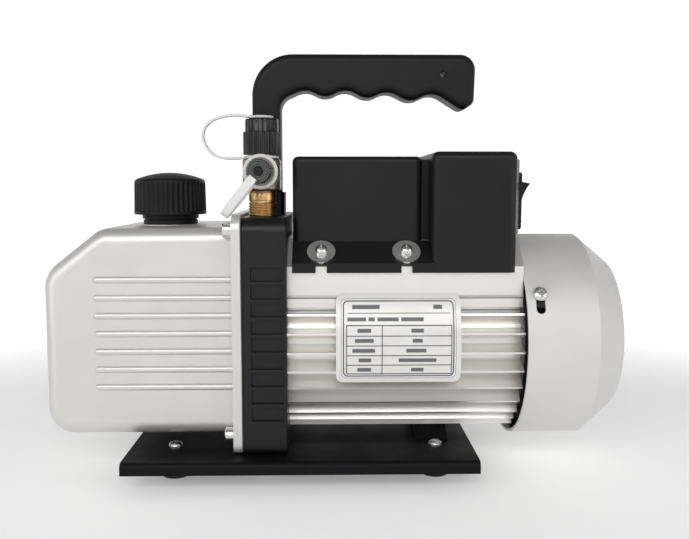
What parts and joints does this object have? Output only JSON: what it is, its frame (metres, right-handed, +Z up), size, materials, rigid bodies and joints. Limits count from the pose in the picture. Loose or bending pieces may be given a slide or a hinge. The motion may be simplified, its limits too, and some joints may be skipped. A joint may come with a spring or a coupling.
{
  "type": "rotary vane vacuum pump",
  "caption": "Portable two-stage rotary vane vacuum pump: finned electric motor, ribbed oil tank, capped inlet valve, carrying handle and folded base.",
  "frame": {"origin": "on the ground under the middle of the pump, where the rubber feet stand", "axes": "+X along the shaft from the oil tank to the fan cover, -Y towards the nameplate side, +Z up"},
  "size_m": [0.337, 0.138, 0.2426],
  "materials": {
    "tank_silver": "satin cast, silver painted",
    "cast_black": "satin black",
    "motor_aluminium": "extruded, bright",
    "cover_silver": "satin silver",
    "box_black": "satin black",
    "base_black": "satin black",
    "plastic_black": "matt black",
    "fan_black": "matt black",
    "rubber_black": "matt",
    "gasket_dark": "matt",
    "brass": "machined",
    "nickel": "nickel plated",
    "strap_white": "translucent white",
    "zinc": "zinc plated",
    "steel": "ground",
    "cast_iron": "machined",
    "laminations": "stacked sheet",
    "copper": "varnished winding",
    "rotor_aluminium": "cast",
    "vane_composite": "resin bonded",
    "lens_glass": "clear",
    "label_white": "printed film",
    "capacitor_white": "moulded"
  },
  "bodies": {
    "pump": {"base_plate": "base_black", "rubber_feet": "rubber_black", "foot_screws": "zinc", "base_bolts": "zinc", "motor_bracket": "base_black", "pump_housing": "cast_black", "oil_tank": "tank_silver", "tank_gasket": "gasket_dark", "tank_bolts": "zinc", "filler_neck": "plastic_black", "filler_seal": "rubber_black", "sight_glass_ring": "nickel", "sight_glass_lens": "lens_glass", "drain_seal": "rubber_black", "first_stage_stator": "cast_iron", "second_stage_stator": "cast_iron", "centre_plate": "cast_iron", "end_plate": "cast_iron", "exhaust_reed": "steel", "reed_stop": "steel", "reed_screw": "zinc", "pump_bolts": "steel", "shaft_seal": "rubber_black", "inlet_stem": "brass", "inlet_valve_body": "nickel", "top_tether": "strap_white", "front_tether": "strap_white", "handle": "plastic_black", "handle_screws": "zinc", "motor_body": "motor_aluminium", "stator_core": "laminations", "stator_windings": "copper", "front_bearing": "steel", "rear_bearing": "steel", "rear_end_shield": "cast_black", "tie_bolts": "zinc", "fan_cover": "cover_silver", "fan_cover_screws": "zinc", "terminal_box": "box_black", "box_screws": "zinc", "box_washers": "zinc", "run_capacitor": "capacitor_white", "switch_housing": "plastic_black", "power_inlet": "plastic_black", "nameplate": "label_white"},
    "rotor": {"motor_shaft": "steel", "motor_rotor": "rotor_aluminium", "cooling_fan": "fan_black", "shaft_coupling": "steel", "first_stage_rotor": "steel", "second_stage_rotor": "steel"},
    "vane_1a": {"first_stage_vane_a": "vane_composite"},
    "vane_1b": {"first_stage_vane_b": "vane_composite"},
    "vane_2a": {"second_stage_vane_a": "vane_composite"},
    "vane_2b": {"second_stage_vane_b": "vane_composite"},
    "rocker": {"switch_rocker": "plastic_black"},
    "port_cap_top": {"top_cap": "plastic_black"},
    "port_cap_front": {"front_cap": "plastic_black"},
    "oil_cap": {"filler_cap": "plastic_black"},
    "oil_drain": {"drain_plug": "zinc"}
  },
  "joints": [
    {"name": "shaft_spin", "type": "hinge", "parent": "pump", "child": "rotor", "pos_m": [0, 0, 0.0757], "axis": [1, 0, 0], "continuous": true},
    {"name": "first_vane_a_slide", "type": "slide", "parent": "rotor", "child": "vane_1a", "axis": [0, -1, 0], "range_m": [0, 0.0025]},
    {"name": "first_vane_b_slide", "type": "slide", "parent": "rotor", "child": "vane_1b", "axis": [0, 1, 0], "range_m": [0, 0.0025]},
    {"name": "second_vane_a_slide", "type": "slide", "parent": "rotor", "child": "vane_2a", "axis": [0, -1, 0], "range_m": [0, 0.0025]},
    {"name": "second_vane_b_slide", "type": "slide", "parent": "rotor", "child": "vane_2b", "axis": [0, 1, 0], "range_m": [0, 0.0025]},
    {"name": "switch_rock", "type": "hinge", "parent": "pump", "child": "rocker", "pos_m": [0.11, -0.018, 0.157], "axis": [0, 1, 0], "range_deg": [-22, 0]},
    {"name": "top_cap_lift", "type": "slide", "parent": "pump", "child": "port_cap_top", "axis": [0, 0, 1], "range_m": [0, 0.018], "deforming": ["top_tether"]},
    {"name": "front_cap_pull", "type": "slide", "parent": "pump", "child": "port_cap_front", "axis": [0, -1, 0], "range_m": [0, 0.014], "deforming": ["front_tether"]},
    {"name": "filler_cap_lift", "type": "slide", "parent": "pump", "child": "oil_cap", "axis": [0, 0, 1], "range_m": [0, 0.025]},
    {"name": "drain_plug_pull", "type": "slide", "parent": "pump", "child": "oil_drain", "axis": [-1, 0, 0], "range_m": [0, 0.015]}
  ]
}
